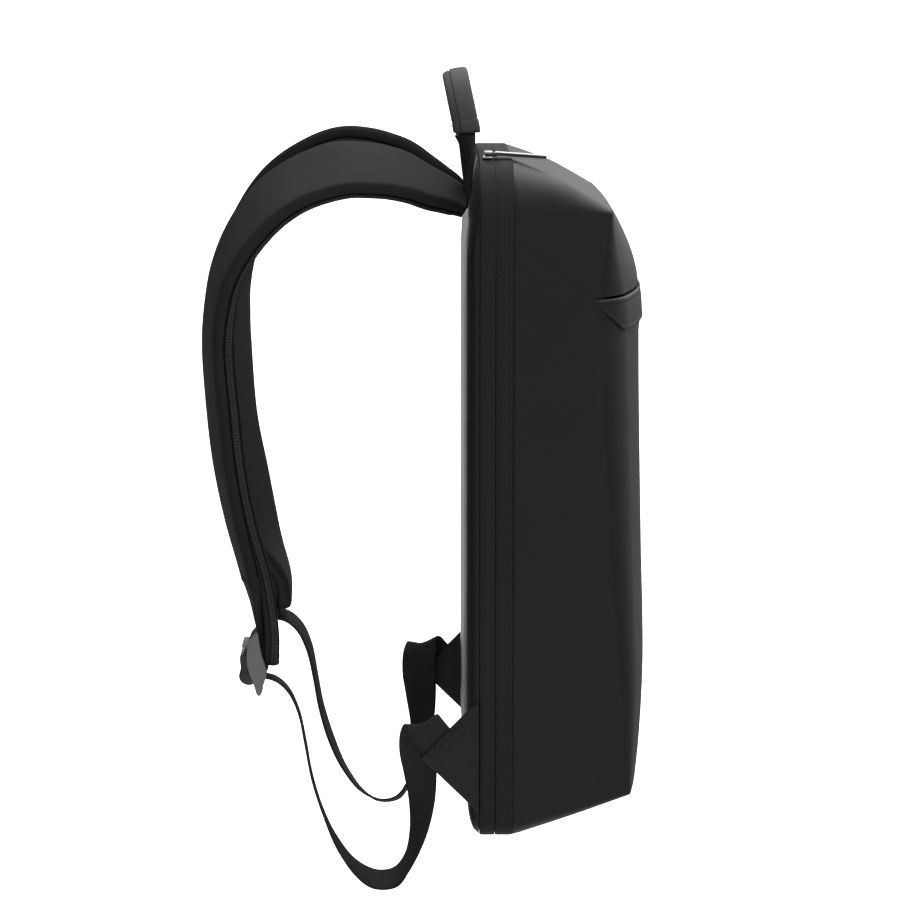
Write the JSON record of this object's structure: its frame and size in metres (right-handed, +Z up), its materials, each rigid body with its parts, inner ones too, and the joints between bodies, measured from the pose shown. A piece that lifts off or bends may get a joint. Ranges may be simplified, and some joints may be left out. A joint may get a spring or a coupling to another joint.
{
  "type": "laptop backpack",
  "caption": "Slim black laptop backpack with a sloping hood, a front slip pocket, padded curved shoulder straps, slack lower webbing, a grab handle and a metal zip pull.",
  "frame": {"origin": "middle of the back panel's face, where it bears on the wearer's back", "axes": "+X across the back to the wearer's right, +Y towards the wearer, +Z up"},
  "size_m": [0.2952, 0.3122, 0.5592],
  "materials": {
    "coated_fabric": "smooth coated fabric",
    "knit_mesh": "knitted mesh",
    "webbing": "woven webbing",
    "buckle_plastic": "moulded",
    "zip_metal": "polished"
  },
  "bodies": {
    "bag": {"anchor_tab_left": "coated_fabric", "anchor_tab_right": "coated_fabric", "back_panel": "coated_fabric", "buckle_left": "buckle_plastic", "buckle_right": "buckle_plastic", "front_panel": "coated_fabric", "gusset_front": "coated_fabric", "gusset_rear": "coated_fabric", "handle_grip": "coated_fabric", "handle_webbing": "webbing", "hood": "coated_fabric", "pocket_lip": "coated_fabric", "strap_face_left": "coated_fabric", "strap_face_right": "coated_fabric", "strap_lining_left": "coated_fabric", "strap_lining_right": "coated_fabric", "strap_mesh_band_left": "knit_mesh", "strap_mesh_band_right": "knit_mesh", "strap_tail_left": "coated_fabric", "strap_tail_right": "coated_fabric", "webbing_left": "webbing", "webbing_right": "webbing", "zip_slider": "zip_metal", "zip_tape": "webbing"},
    "pull": {"zip_pull": "zip_metal"}
  },
  "joints": [
    {"name": "pull_hinge", "type": "hinge", "parent": "bag", "child": "pull", "pos_m": [-0.102, -0.0216, 0.2293], "axis": [-1, 0, 0], "range_deg": [0, 95]}
  ]
}
